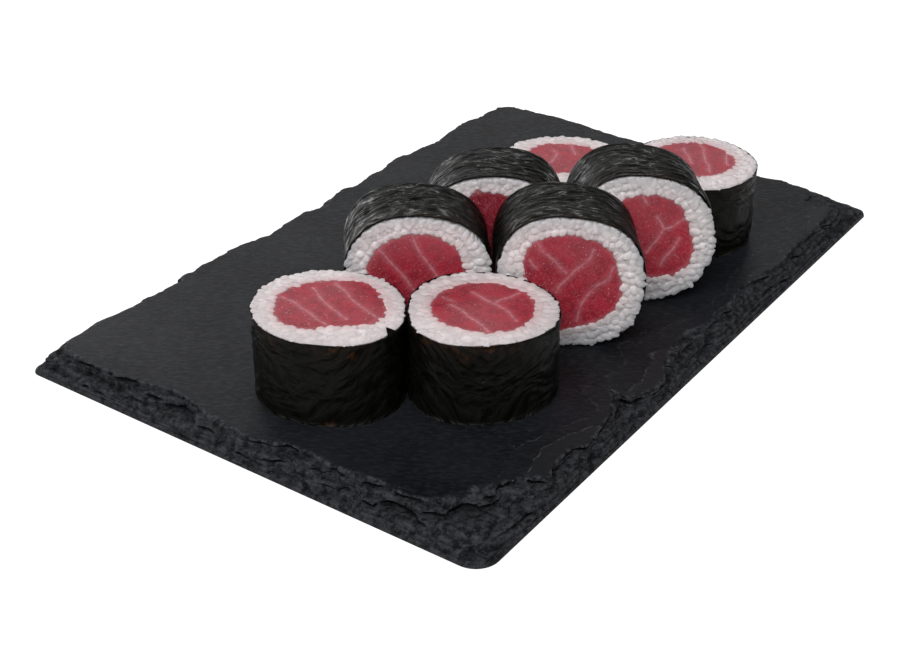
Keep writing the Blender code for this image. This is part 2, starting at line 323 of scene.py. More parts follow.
def make_slate():
    """Riven slate, split along its cleavage: near-black blue grey and matt, finely mottled, with
    thin painted highlights where layers end near the long side, and a granular, chipped rim whose
    gaps under the lips are painted near black as shade and whose lips are painted paler, as a
    highlight and as freshly broken stone."""
    material, tree, inputs = new_material("riven_slate", {"IOR": 1.2})
    place = add(tree, "ShaderNodeTexCoord", output="Object")
    turned = add(tree, MAPPING, {"Vector": place, "Rotation": (0, 0, -VIEW_HEADING)})
    drawn_out = add(tree, MAPPING, {"Vector": turned, "Scale": (0.38, 1, 1)})
    # Each pattern has a place, a size in mm, a detail and a roughness.
    patches, wander, streaks, grit, mottle = (
        add(tree, NOISE, {"Vector": where, "Scale": 1 / (size * MM), "Detail": detail, "Roughness": rough})
        for where, size, detail, rough in (
            (place, 24, 4.0, 0.5), (place, 24, 3.0, 0.45), (drawn_out, 0.9, 5.0, 0.65),
            (place, 0.8, 3.0, 0.6), (place, 2.2, 5.0, 0.7)))
    # Each share rises softly to its most while its pattern goes from low to high.
    tone, streak, broken, blotch, speck, lip_patches = (
        add(tree, RANGE, {"Value": pattern, "From Min": low, "From Max": high, "To Max": most}, **SOFT)
        for pattern, low, high, most in (
            (patches, 0.3, 0.7, 1.0), (streaks, 0.42, 0.7, 0.6), (mottle, 0.44, 0.64, 0.45),
            (mottle, 0.36, 0.6, 1.0), (grit, 0.6, 0.74, 0.5), (mottle, 0.46, 0.66, 0.5)))
    # The gap mark paints the gaps under the lips near black: painted shade.
    scar, gap, lip = (add(tree, FIELD, output="Fac", attribute_name=key) for key in ("scar", "gap", "lip"))

    # Where layers end on the top: y plus a slow wander passes two fixed levels near the long side, and a thin
    # painted highlight runs along each, as on the edge of a step.
    y_place = add(tree, "ShaderNodeSeparateXYZ", {0: place}, "Y")
    level = add(tree, MATH, {0: wander, 1: 34 * MM, 2: y_place}, operation="MULTIPLY_ADD")
    outer, layer_edge_highlight = 0.0, 0.0
    for stop, share in ((-48 * MM, 0.5), (-55 * MM, 1.0)):
        step = {"Value": level, "From Min": stop + 0.35 * MM, "From Max": stop - 0.35 * MM}
        gone = add(tree, RANGE, step, **SOFT)
        outer = add(tree, MATH, {0: gone, 1: share, 2: outer}, operation="MULTIPLY_ADD")
        beside = add(tree, MATH, {0: level, 1: stop}, operation="SUBTRACT")
        beside = add(tree, MATH, {0: beside}, operation="ABSOLUTE")
        fall = {"Value": beside, "From Max": 0.55 * MM, "To Min": share, "To Max": 0.0}
        line = add(tree, RANGE, fall, **SOFT)
        layer_edge_highlight = add(tree, MATH, {0: layer_edge_highlight, 1: line}, operation="MAXIMUM")
    layer_edge_highlight = add(tree, MATH, {0: layer_edge_highlight, 1: broken}, operation="MULTIPLY")
    outer_share = add(tree, MATH, {0: outer, 1: 0.3}, operation="MULTIPLY")
    # The lips of the layers are painted paler: a painted highlight where their edges catch the light, and
    # paler freshly broken stone.
    chipped_lip_highlight = add(tree, MATH, {0: lip, 1: lip_patches}, operation="MULTIPLY")
    cells = add(tree, VORONOI, {"Vector": place, "Scale": 1 / (5 * MM)})
    fleck = {"Value": cells, "From Min": 0.02, "From Max": 0.06, "To Min": 0.35, "To Max": 0.0}
    fleck = add(tree, RANGE, fleck)

    chipped = add(tree, MIX, {0: blotch, 6: srgb("#151618"), 7: srgb("#3b3c40")}, 2, **COLOUR)
    chipped = add(tree, MIX, {0: speck, 6: chipped, 7: srgb("#6a6b6f")}, 2, **COLOUR)
    colour = srgb("#111215")
    for share, over in ((tone, srgb("#1f2024")), (outer_share, srgb("#343537")), (streak, srgb("#2f3136")),
                        (layer_edge_highlight, srgb("#6a6b6e")), (scar, chipped), (chipped_lip_highlight, srgb("#606165")),
                        (gap, srgb("#040404")), (fleck, srgb("#77797c"))):
        colour = add(tree, MIX, {0: share, 6: colour, 7: over}, 2, **COLOUR)
    tree.links.new(colour, inputs["Base Color"])
    rough = {"Value": streaks, "From Min": 0.3, "From Max": 0.7, "To Min": 0.52, "To Max": 0.44}
    rough = add(tree, RANGE, rough)
    rough = add(tree, MIX, {0: scar, 2: rough, 3: 0.62})
    tree.links.new(rough, inputs["Roughness"])
    relief = add(tree, MATH, {0: grit, 1: streaks}, operation="ADD")
    relief = add(tree, MATH, {0: outer, 1: -1.2, 2: relief}, operation="MULTIPLY_ADD")
    normal = add(tree, BUMP, {"Height": relief, "Strength": 0.45, "Distance": 0.16 * MM})
    crumb = add(tree, MATH, {0: grit, 1: 0.45, 2: mottle}, operation="MULTIPLY_ADD")
    normal = add(tree, BUMP, {"Height": crumb, "Strength": scar, "Distance": 0.9 * MM, "Normal": normal})
    tree.links.new(normal, inputs["Normal"])
    return material


def make_nori(name, combed_share, ior, roughness, depth):
    """Toasted nori: a pressed seaweed sheet, near black with a green and brown cast, whose
    fibres run round the roll in loose waves, smoother along their crests, which are painted paler
    as a painted highlight. A sheet is either combed smooth (share 1) or crinkled (share 0), with
    relief of a depth in metres."""
    material, tree, inputs = new_material(name, {"IOR": ior})
    # The sheet's own map is in metres: across is round the roll, up is along its axis.
    sheet = add(tree, "ShaderNodeUVMap", uv_map="sheet")
    sway = add(tree, NOISE, {"Vector": sheet, "Scale": 1 / (9 * MM), "Detail": 1.0}, "Color")
    swayed = {0: sway, 1: (0, 5 * MM, 0), 2: sheet}
    swayed = add(tree, "ShaderNodeVectorMath", swayed, operation="MULTIPLY_ADD")
    drawn_out = add(tree, MAPPING, {"Vector": swayed, "Scale": (0.3, 1, 1)})
    creased = add(tree, MAPPING, {"Vector": sheet, "Scale": (0.75, 1, 1)})
    # Each pattern has a place, a size in mm, a detail and a distortion.
    fibres, strokes, crinkle, clouds, wear = (
        add(tree, NOISE, {"Vector": where, "Scale": 1 / (size * MM), "Detail": detail, "Distortion": bend})
        for where, size, detail, bend in (
            (drawn_out, 1.0, 1.5, 0.3), (drawn_out, 1.7, 1.5, 0.3), (creased, 3.2, 4.0, 0.4),
            (sheet, 4, 3.0, 0.0), (sheet, 1.8, 3.0, 0.0)))
    cloud, combed, filled, crumpled, worn, frayed = (
        add(tree, RANGE, {"Value": pattern, "From Min": low, "From Max": high, "To Max": most}, **SOFT)
        for pattern, low, high, most in (
            (clouds, 0.3, 0.7, 1.0), (fibres, 0.42, 0.62, 1.0), (strokes, 0.38, 0.5, 1.0),
            (crinkle, 0.36, 0.52, 0.2), (wear, 0.42, 0.64, 0.6), (fibres, 0.4, 0.6, 0.6)))
    thin, hem = (add(tree, FIELD, output="Fac", attribute_name=key) for key in ("thin", "hem"))
    combed = add(tree, MATH, {0: combed, 1: filled}, operation="MULTIPLY")
    ridge_highlight = add(tree, MIX, {0: combed_share, 2: crumpled, 3: combed})
    worn = add(tree, MATH, {0: worn, 1: thin}, operation="MULTIPLY")
    frayed = add(tree, MATH, {0: frayed, 1: hem}, operation="MULTIPLY")
    # The crests of the fibres and crinkles are painted paler: a painted highlight.
    colour = srgb("#030302")
    for share, over in ((cloud, "#080807"), (ridge_highlight, "#252521"), (worn, "#452a19"), (frayed, "#6c6b65")):
        colour = add(tree, MIX, {0: share, 6: colour, 7: srgb(over)}, 2, **COLOUR)
    tree.links.new(colour, inputs["Base Color"])
    rough = add(tree, RANGE, {"Value": ridge_highlight, "To Min": roughness, "To Max": 0.2})
    tree.links.new(rough, inputs["Roughness"])
    threads = add(tree, MATH, {0: strokes, 1: 0.8, 2: fibres}, operation="MULTIPLY_ADD")
    relief = add(tree, MIX, {0: combed_share, 2: crinkle, 3: threads})
    normal = add(tree, BUMP, {"Height": relief, "Strength": 1.0, "Distance": depth})
    tree.links.new(normal, inputs["Normal"])
    return material


def make_rice(name, pale, stained, shaded, glassy_and_shade):
    """Cooked short-grain rice: pearly, translucent white that lets light bleed between grains,
    greyer in the seams between them, glassy grey where it is thin beside the nori, and stained
    pink where it touches the fish. Low on a lying roll's face it is painted greyer as shade, and
    small dark spots are painted shade for tiny pits."""
    values = {"Roughness": 0.24, "IOR": 1.4, "Subsurface Weight": 1.0, "Subsurface Scale": 1.2 * MM,
              "Subsurface Radius": (1.0, 0.92, 0.9)}
    material, tree, inputs = new_material(name, values)
    place = add(tree, "ShaderNodeTexCoord", output="Object")
    stain, tone, seam, edge = (
        add(tree, FIELD, output="Fac", attribute_name=key) for key in ("stain", "tone", "seam", "edge"))
    milky = add(tree, NOISE, {"Vector": place, "Scale": 1 / (1.1 * MM), "Detail": 3.0, "Roughness": 0.6})
    clear = add(tree, MATH, {0: milky, 1: 0.7, 2: tone}, operation="MULTIPLY_ADD")
    clear = {"Value": clear, "From Min": 0.2, "From Max": 1.3, "To Min": 0.75, "To Max": 0.0}
    clear = add(tree, RANGE, clear)
    groove = add(tree, MATH, {0: seam, 1: 0.4}, operation="MULTIPLY")
    # Small dark spots painted in as the shade of tiny pits between grains.
    cells = add(tree, VORONOI, {"Vector": place, "Scale": 1 / (3.4 * MM)})
    pit_shade = {"Value": cells, "From Min": 0.05, "From Max": 0.11, "To Min": 0.55, "To Max": 0.0}
    pit_shade = add(tree, RANGE, pit_shade, **SOFT)
    # The edge mark paints a glassy grey where the rice is thin beside the nori and, low on a lying roll's
    # face, painted shade.
    colour = srgb(pale)
    for share, over in ((clear, shaded), (edge, glassy_and_shade), (groove, "#c2bfc2"), (stain, stained),
                        (pit_shade, "#6f6a68")):
        colour = add(tree, MIX, {0: share, 6: colour, 7: srgb(over)}, 2, **COLOUR)
    tree.links.new(colour, inputs["Base Color"])
    frost = add(tree, NOISE, {"Vector": place, "Scale": 1 / (0.5 * MM), "Detail": 2.0})
    relief = add(tree, MATH, {0: seam, 1: -0.9, 2: milky}, operation="MULTIPLY_ADD")
    relief = add(tree, MATH, {0: frost, 1: 0.5, 2: relief}, operation="MULTIPLY_ADD")
    normal = add(tree, BUMP, {"Height": relief, "Strength": 0.4, "Distance": 0.3 * MM})
    tree.links.new(normal, inputs["Normal"])
    return material


def make_tuna():
    """Raw tuna loin, knife cut: moist, deep pink flesh with fine muscle fibres, pale threads of
    sinew between its layers, tiny flecks, and a paler rim where it meets the rice."""
    values = {"IOR": 1.33, "Subsurface Weight": 0.35, "Subsurface Scale": 1.0 * MM,
              "Subsurface Radius": (1.0, 0.3, 0.28)}
    material, tree, inputs = new_material("raw_tuna", values)
    # The map is in metres on the cut face, turned so that the muscle fibres run along x.
    flesh = add(tree, "ShaderNodeUVMap", uv_map="sheet")
    grain_map = add(tree, MAPPING, {"Vector": flesh, "Scale": (0.5, 1, 1)})
    # Each pattern has a place, a size in mm, a detail and a distortion.
    broad, fibres, fine, muscle, wear = (
        add(tree, NOISE, {"Vector": where, "Scale": 1 / (size * MM), "Detail": detail, "Distortion": bend})
        for where, size, detail, bend in (
            (flesh, 9, 2.0, 0.0), (grain_map, 0.8, 3.0, 0.8), (flesh, 0.45, 2.0, 0.0),
            (flesh, 3.2, 3.0, 0.6), (flesh, 1.3, 2.0, 0.0)))
    tone, dark, pale_fibre, speckle = (
        add(tree, RANGE, {"Value": pattern, "From Min": low, "From Max": high, "To Max": most}, **SOFT)
        for pattern, low, high, most in (
            (broad, 0.32, 0.68, 1.0), (muscle, 0.42, 0.62, 0.6), (fibres, 0.42, 0.75, 0.42),
            (fine, 0.52, 0.72, 0.28)))
    deep, upper, rim = (
        add(tree, FIELD, output="Fac", attribute_name=key) for key in ("deep", "upper", "rim"))
    line = 0.0
    for slot in range(SINEW_SLOTS):
        field = add(tree, FIELD, output="Vector", attribute_name=f"sinew_{slot + 1}")
        side = add(tree, "ShaderNodeSeparateXYZ", {0: field}, "X")
        strength = add(tree, "ShaderNodeSeparateXYZ", {0: field}, "Y")
        side = add(tree, MATH, {0: side}, operation="ABSOLUTE")
        core = {"Value": side, "From Min": 0.04, "From Max": 0.72, "To Min": 0.85, "To Max": 0.0}
        core = add(tree, RANGE, core, **SOFT)
        halo = add(tree, RANGE, {"Value": side, "From Max": 2.0, "To Min": 0.34, "To Max": 0.0}, **SOFT)
        thread = add(tree, MATH, {0: core, 1: halo}, operation="MAXIMUM")
        thread = add(tree, MATH, {0: thread, 1: strength}, operation="MULTIPLY")
        line = add(tree, MATH, {0: line, 1: thread}, operation="MAXIMUM")
    worn = add(tree, RANGE, {"Value": wear, "From Min": 0.3, "From Max": 0.62, "To Min": 0.4}, **SOFT)
    line = add(tree, MATH, {0: line, 1: worn}, operation="MULTIPLY")
    cells = add(tree, VORONOI, {"Vector": flesh, "Scale": 1 / (1.2 * MM)})
    fleck = {"Value": cells, "From Min": 0.08, "From Max": 0.18, "To Min": 0.6, "To Max": 0.0}
    fleck = add(tree, RANGE, fleck)
    rare = add(tree, RANGE, {"Value": broad, "From Min": 0.42, "From Max": 0.56})
    fleck = add(tree, MATH, {0: fleck, 1: rare}, operation="MULTIPLY")
    # The deep mark paints a darker red: a touch of the fish's own tone on rolls 4 and 6, and on roll 5 mostly
    # painted shade.
    colour = srgb("#b51c35")
    for share, over in ((tone, "#a92f3e"), (dark, "#85182a"), (deep, "#6e0f1f"), (upper, "#b5606a"),
                        (pale_fibre, "#bd5864"), (speckle, "#cf8c92"), (line, "#d08791"), (rim, "#cd8d90"),
                        (fleck, "#e9c4c4")):
        colour = add(tree, MIX, {0: share, 6: colour, 7: srgb(over)}, 2, **COLOUR)
    tree.links.new(colour, inputs["Base Color"])
    rough = {"Value": fibres, "From Min": 0.3, "From Max": 0.7, "To Min": 0.4, "To Max": 0.55}
    rough = add(tree, RANGE, rough)
    tree.links.new(rough, inputs["Roughness"])
    relief = add(tree, MATH, {0: line, 1: -0.4, 2: fibres}, operation="MULTIPLY_ADD")
    normal = add(tree, BUMP, {"Height": relief, "Strength": 0.35, "Distance": 0.15 * MM})
    tree.links.new(normal, inputs["Normal"])
    return material


# ---------------------------------------------------------------- the board

def board_ring(half_x, half_y, radii, side_points, corner_points):
    """A rectangle with round corners, anticlockwise from the near right one, with the same count
    of points at any size."""
    corners = ((1, -1, -90), (1, 1, 0), (-1, 1, 90), (-1, -1, 180))
    arcs = []
    for (x, y, start), radius in zip(corners, radii):
        angles = np.radians(start + np.linspace(0, 90, corner_points))
        middle = np.array([x * (half_x - radius), y * (half_y - radius)])
        arcs.append(middle + radius * np.stack([np.cos(angles), np.sin(angles)], axis=1))
    pieces = []
    for index, count in enumerate(side_points):
        start, end = arcs[index][-1], arcs[(index + 1) % 4][0]
        along = np.arange(1, count)[:, None] / count
        pieces += [arcs[index], start + along * (end - start)]
    return np.concatenate(pieces)


def foot_places(foot, side_points, corner_points):
    """Each foot point's place round the board, counted as TOP_INSETS counts it, and its share of
    the whole way round."""
    walked = np.concatenate([[0], np.cumsum(np.hypot(*np.diff(foot, axis=0).T))])
    firsts = np.concatenate([[0], np.cumsum([points - 1 + corner_points for points in side_points])])[:4]
    middles = walked[firsts + corner_points // 2]
    total = walked[-1] + np.hypot(*(foot[0] - foot[-1]))
    way = np.interp(walked, [*middles, middles[0] + total], SIDE_STARTS)
    way = way - np.where(walked < middles[0], 2.5, 0) * (1 - walked / middles[0])
    return np.mod(way, SIDE_STARTS[-1]), walked / total


def layer_lines(way, turn, thick):
    """The rim's split layers, from the foot up: how far in each layer's foot line lies, its
    height and the fine wander of the lines, and how far in the flat top begins.

    A line is a share of the flat top's inset, pushed further in by flakes, each an arc
    depth sqrt(1 - (way / reach)^2) that takes all the layers above its floor."""
    rng = np.random.default_rng(11)
    whole = SIDE_STARTS[-1]
    places, insets = zip(*TOP_INSETS)
    top = np.interp(way, places, insets, period=whole)
    top = top + 0.45 * line_ripples(turn, 260, [1])[0] + 0.25 * line_ripples(turn, 640, [2])[0]
    top = np.maximum(top, 0.9)
    layers = len(LAYER_SHARES)
    level = np.arange(layers)[:, None] / layers
    drift = line_ripples(turn, 90, range(10, 10 + layers))
    fine = line_ripples(turn, 330, range(20, 20 + layers))
    height = thick * level + 0.42 * line_ripples(turn, 30, range(30, 30 + layers)) + 0.16 * drift
    height[0] = 0.45
    line = top[None] * np.clip(np.array(LAYER_SHARES)[:, None] * (1 + 0.35 * drift), 0, 0.97)
    for _ in range(FLAKES):
        middle, reach = rng.uniform(0, whole), rng.uniform(2.0, 8.5)
        depth, floor = rng.uniform(0.8, 4.2), rng.integers(1, layers)
        gap = wrapped(way - middle, whole)
        arc = depth * np.sqrt(np.clip(1 - (gap / reach) ** 2, 0, None))
        inside = np.abs(gap) < reach
        cut = np.minimum(line[floor] + arc, top + 0.4)
        line[floor:] = np.where(inside, np.maximum(line[floor:], cut), line[floor:])
    line = line + 0.22 * fine
    line[0] = 0.12 + 0.1 * fine[0]
    line = np.maximum.accumulate(np.maximum(line, 0.12), axis=0)
    return line, height, fine, np.maximum(top, line[-1] + 0.3)


def gap_depths(way, turn, fine):
    """How deep the dark gap under each layer's lip is: the listed gaps and random hairlines."""
    layers = len(fine)
    level = np.arange(layers)[:, None] / layers
    depths = np.full(fine.shape, 0.06)
    for start, end, layer, depth in GAPS:
        middle, reach = (start + end) / 2, (end - start) / 2 + 0.8
        away = wrapped(way - middle, SIDE_STARTS[-1])
        shape = depth * np.clip(1 - (away / reach) ** 2, 0, None) ** 0.6
        depths[layer] = np.maximum(depths[layer], shape * (0.85 + 0.3 * fine[layer]))
    hairline = np.clip(ripple(turn[None] + 0 * level, level, 150, 6, 50) - 0.6, 0, None)
    depths[1:] = np.maximum(depths[1:], 1.4 * hairline[1:])
    return depths


def build_board(material):
    """The riven board. From each layer's foot line a riser with a rounded lip leads to the next
    height, a gap cuts in beneath the lip, and a tread leads in to the next layer's line. The gaps
    are painted near black as shade and the lips paler as a highlight."""
    half_x, half_y, thick = BOARD_X / MM, BOARD_Y / MM, BOARD_TOP / MM
    side_points, corner_points, margin = (230, 350, 375, 590), 14, 24
    foot = board_ring(half_x, half_y, CORNER_RADII, side_points, corner_points)
    inner = board_ring(half_x - margin, half_y - margin, (2, 2, 2, 2), side_points, corner_points)
    count = len(foot)
    way, turn = foot_places(foot, side_points, corner_points)
    line, height, fine, top = layer_lines(way, turn, thick)
    gap_depth = gap_depths(way, turn, fine)
    layers = len(line)

    next_line = np.vstack([line[1:], top[None]])
    next_height = np.vstack([height[1:], np.full((1, count), thick)])
    next_height = np.maximum(next_height, height + 0.35)
    height[1:] = next_height[:-1]
    next_height[-1] = thick
    height = np.minimum(height, thick - 0.4)
    rise = next_height - height
    lip = np.clip(0.4 * (next_line - line), 0.12, 1.1)
    lip[-1] = (next_line - line)[-1]
    open_height = rise * np.clip(0.25 + 0.4 * gap_depth, 0.1, 0.86) * smooth(gap_depth / 0.5)
    next_gap = np.vstack([gap_depth[1:], np.zeros((1, count))])
    rough = 0.12 * line_ripples(turn, 300, range(60, 60 + 8 * layers))
    rough = rough + 0.08 * line_ripples(turn, 760, range(120, 120 + 8 * layers))
    rings = []

    def ring(inset, z, is_shaded_gap=0.0, is_lit_lip=0.0, is_scar=1.0):
        rings.append(np.stack([value + 0 * top for value in (inset, z, is_shaded_gap, is_lit_lip, is_scar)]))

    ring(0, 0)
    ring(0.02, 0.2)
    for k in range(layers):
        # How near black the gap rings are painted, as painted shade.
        dark = 0.9 * smooth(gap_depth[k] / 0.7)
        jag = rough[8 * k:8 * k + 8]
        if k:
            ring(line[k] + gap_depth[k], height[k] + 0.02 - 0.5 * smooth(gap_depth[k] / 2), is_shaded_gap=dark)
            ring(line[k] + 0.85 * gap_depth[k], height[k] + 0.03 + open_height[k] * 0.8, is_shaded_gap=dark)
        ring(line[k] + 0.2 * np.abs(jag[2]), height[k] + 0.04 + open_height[k], is_lit_lip=0.3)
        ring(line[k] + 0.12 * lip[k] + jag[3], height[k] + open_height[k] + 0.45 * (rise[k] - open_height[k]))
        ring(line[k] + 0.45 * lip[k] + jag[4], height[k] + rise[k] * 0.86, is_lit_lip=0.7)
        if k < layers - 1:
            ring(line[k] + lip[k], next_height[k] + 0.6 * jag[5], is_lit_lip=0.5)
            tread = 0.5 * (line[k] + lip[k] + next_line[k] + next_gap[k])
            ring(tread, next_height[k] + 0.9 * jag[6] - 0.05)
    ring(top - 0.12, thick - 0.03, is_lit_lip=1.0, is_scar=0.7)
    ring(top + 0.3, thick, is_lit_lip=0.4, is_scar=0.3)
    ring(top + 1.0, thick, is_scar=0)
    ring(margin, thick, is_scar=0)
    inset, z, gap_shade_mark, lip_highlight_mark, scar_mark = np.stack(rings, axis=1)
    z = np.clip(z, 0, thick)
    share = np.clip(inset / margin, 0, 1)[..., None]
    flat = foot[None] * (1 - share) + inner[None] * share
    points = np.concatenate([flat, z[..., None]], axis=-1)
    attributes = {"scar": scar_mark.ravel(), "gap": gap_shade_mark.ravel(), "lip": lip_highlight_mark.ravel()}
    faces = ring_faces(len(rings), count, filled=True)
    mesh = build_mesh("slate_board", points.reshape(-1, 3), faces, attributes)
    mesh.set_sharp_from_angle(angle=math.radians(55))
    return show("slate_board", mesh, material, "slate", "slate")


# ---------------------------------------------------------------- the rolls

def reach_of(radius, lobes, angles):
    """Radius at each angle: mean + sum of height cos(n (angle - crest))."""
    result = np.full(np.shape(angles), float(radius))
    for count, height, crest in lobes:
        result = result + height * np.cos(count * (angles - math.radians(crest)))
    return result


def roll_reach(roll, points):
    """The nori's radius in the direction of each point about the roll's axis."""
    return reach_of(roll.radius, roll.lobes, np.arctan2(points[..., 1], points[..., 0]))


def fish_reach(roll, angles):
    """The tuna core's radius at each angle about its own middle."""
    return reach_of(roll.fish_radius, roll.fish_lobes, angles)


def placed(roll, local):
    """Turn points from the roll's own axes (x right, y up or away, z along it) into the board's."""
    turn = Matrix.Rotation(math.radians(roll.turn), 3, "Z")
    if not roll.lying:
        origin = (roll.x, roll.y, BOARD_TOP / MM + 0.02 + roll.length / 2)
    else:
        turn = turn @ Matrix.Rotation(math.radians(90), 3, "X")
        origin = (roll.x, roll.y, BOARD_TOP / MM + roll.axis_height)
    points = local @ np.array(turn).T + np.array(origin)
    points[..., 2] = np.minimum(points[..., 2], HIGHEST)
    return points


def build_nori(roll, material):
    """One sheet rolled into a tube. Its outer skin is the outline plus creases: a sum of ripples
    on lattices whose rows are bent by a slower ripple, fading out at both ends of the tube."""
    columns, rows = 330, 74
    half = roll.length / 2
    seed = 100 * roll.number
    turn = np.arange(columns) / columns
    angles = turn * math.tau - math.pi / 2
    across, along = np.meshgrid(turn, np.linspace(0, 1, rows))
    standing = not roll.lying
    bend = 0.12 * ripple(across, along, 11, 3, seed)
    bend = bend + (0.35 if standing else 0.16) * ripple(across, 0 * along, 7, 1, seed + 1)
    bent = (along + bend + 1) / 3
    relief = 0
    for cells, lines, height in STANDING_FOLDS if standing else LYING_FOLDS:
        relief = relief + height * ripple(across, bent, cells, 3 * lines, seed + cells)
    puff = 0.25 * ripple(across, along, 7, 3, seed + 5)
    fade = smooth(np.minimum(along, 1 - along) / 0.06)
    offset = np.clip((relief + puff - 0.1) * (0.15 + 0.85 * fade) - 0.025, -0.88, 0.3)
    reach = reach_of(roll.radius, roll.lobes, angles)
    rim = 0.16 * line_ripples(turn, 14, [seed + 6], 0)[0] + 0.1 * line_ripples(turn, 60, [seed + 7], 0)[0]
    z = -half + along * roll.length + smooth((along - 0.6) / 0.4) * (rim - 0.1)[None, :]
    radius = reach[None, :] + offset
    patchy = 0.4 + 0.6 * line_ripples(turn, 16, [seed + 8], 0)
    thin = 1.1 * np.exp(-(1 - along) * roll.length / 2.2) * patchy
    for angle, height, size in THIN_SPOTS.get(roll.number, ()):
        gap = np.radians(wrapped(np.degrees(angles) - angle, 360)) * roll.radius
        away = np.hypot(gap[None, :], along * roll.length - height)
        thin = np.maximum(thin, 1.6 * np.exp(-(away / size) ** 2))
    if roll.number == 1:
        angle, width, fold = TORN_TIP
        gap = np.abs(wrapped(np.degrees(angles) - angle, 360)) / width
        tip = np.clip(1 - gap, 0, 1)[None, :]
        z = z + 1.25 * tip * smooth((along - 0.9) / 0.05)
        radius = radius - fold * tip * smooth((along - 0.955) / 0.045)
    outer = np.stack([radius * np.cos(angles), radius * np.sin(angles), z], axis=-1)
    inner = outer[[-1, -4, -12, 12, 3, 0]]
    flat = np.hypot(inner[..., 0], inner[..., 1])
    inner = inner * np.stack([1 - SHEET / flat, 1 - SHEET / flat, np.ones_like(flat)], axis=-1)
    rings = np.concatenate([outer, inner])
    if not standing:
        floor = np.concatenate([np.zeros(rows), np.full(len(inner), SHEET)])[:, None]
        rings[..., 1] = np.maximum(rings[..., 1], -(roll.axis_height - 0.03) + floor)
    faces = ring_faces(len(rings), columns, looped=True)
    girth = roll.radius * math.tau
    # The map follows the creases, so that the fibres run along them.
    map_up = np.concatenate([(along + bend) * roll.length, 3 * roll.length + inner[..., 2]])
    beside, above = np.roll(map_up, -1, axis=1), np.roll(map_up, -1, axis=0)
    v = np.stack([map_up, beside, np.roll(beside, -1, axis=0), above], axis=-1)
    u = np.stack([turn, turn + 1 / columns, turn + 1 / columns, turn], axis=-1) * girth + 400 * roll.number
    corner_uv = np.stack(np.broadcast_arrays(u[None], v), axis=-1)
    thin = np.concatenate([thin, np.zeros((len(inner), columns))])
    hem = np.concatenate([np.exp(-along * roll.length / 0.35) * standing, np.zeros((len(inner), columns))])
    mesh = build_mesh(f"nori_sheet_{roll.number}", placed(roll, rings.reshape(-1, 3)), faces,
                      {"thin": np.clip(thin, 0, 1).ravel(), "hem": hem.ravel()}, corner_uv)
    return show(mesh.name, mesh, material, "nori", f"nori_{roll.number}")


def unit_grain(around=10, levels=6):
    """Points and faces of a ball of a few dozen faces, poles on z."""
    lift = np.pi * np.arange(1, levels) / levels
    spin = math.tau * np.arange(around) / around
    rings = np.stack([np.sin(lift)[:, None] * np.cos(spin), np.sin(lift)[:, None] * np.sin(spin),
                      -np.cos(lift)[:, None] + 0 * spin], axis=-1).reshape(-1, 3)
    points = np.concatenate([rings, [[0, 0, -1], [0, 0, 1]]])
    quads = ring_faces(levels - 1, around)[0]
    first = np.arange(around)
    beside = (first + 1) % around
    low, high, last = len(rings), len(rings) + 1, (levels - 2) * around
    bottom = np.stack([np.full(around, low), beside, first], axis=1)
    top = np.stack([np.full(around, high), last + first, last + beside], axis=1)
    return points, quads, np.concatenate([bottom, top])


def spread_grains(roll, spacing, seed):
    """Grain middles over the rice ring: rows beside the fish, beside the nori and between, then
    pushed apart many times over wherever two are nearer than the spacing."""
    rng = np.random.default_rng(seed)
    middle = np.array([roll.fish_x, roll.fish_y])
    spots = []
    for share in (0.0, 0.5, 1.0):
        around = np.linspace(0, math.tau, 400)
        inner_reach = fish_reach(roll, around) + 0.95
        inner = middle + inner_reach[:, None] * np.stack([np.cos(around), np.sin(around)], axis=1)
        outer_angle = np.arctan2(inner[:, 1], inner[:, 0])
        outer_reach = reach_of(roll.radius, roll.lobes, outer_angle) - 1.35
        outer = outer_reach[:, None] * np.stack([np.cos(outer_angle), np.sin(outer_angle)], axis=1)
        row = inner * (1 - share) + outer * share
        walked = np.concatenate([[0], np.cumsum(np.hypot(*np.diff(row, axis=0).T))])
        count = int(walked[-1] / spacing)
        stops = (np.arange(count) + rng.uniform(0, 1) + rng.uniform(-0.3, 0.3, count)) * walked[-1] / count
        stops = np.mod(stops, walked[-1])
        spots.append(np.stack([np.interp(stops, walked, along) for along in row.T], axis=1))
    spots = np.concatenate(spots) + rng.uniform(-0.45, 0.45, (sum(len(row) for row in spots), 2))
    nearness = rng.uniform(0.5, 1.2, len(spots))
    for _ in range(40):
        gap = spots[:, None] - spots[None]
        distance = np.hypot(gap[..., 0], gap[..., 1]) + 1e-6
        push = np.clip(spacing - distance, 0, None) * 0.3
        np.fill_diagonal(push, 0)
        spots = spots + (gap / distance[..., None] * push[..., None]).sum(axis=1)
        distance = np.hypot(spots[:, 0], spots[:, 1])
        limit = roll_reach(roll, spots) - 1.3
        spots = spots * np.minimum(1, limit / distance)[:, None]
        away = spots - middle
        distance = np.hypot(away[:, 0], away[:, 1])
        limit = fish_reach(roll, np.arctan2(away[:, 1], away[:, 0])) + nearness
        spots = middle + away * np.maximum(1, limit / distance)[:, None]
    return spots


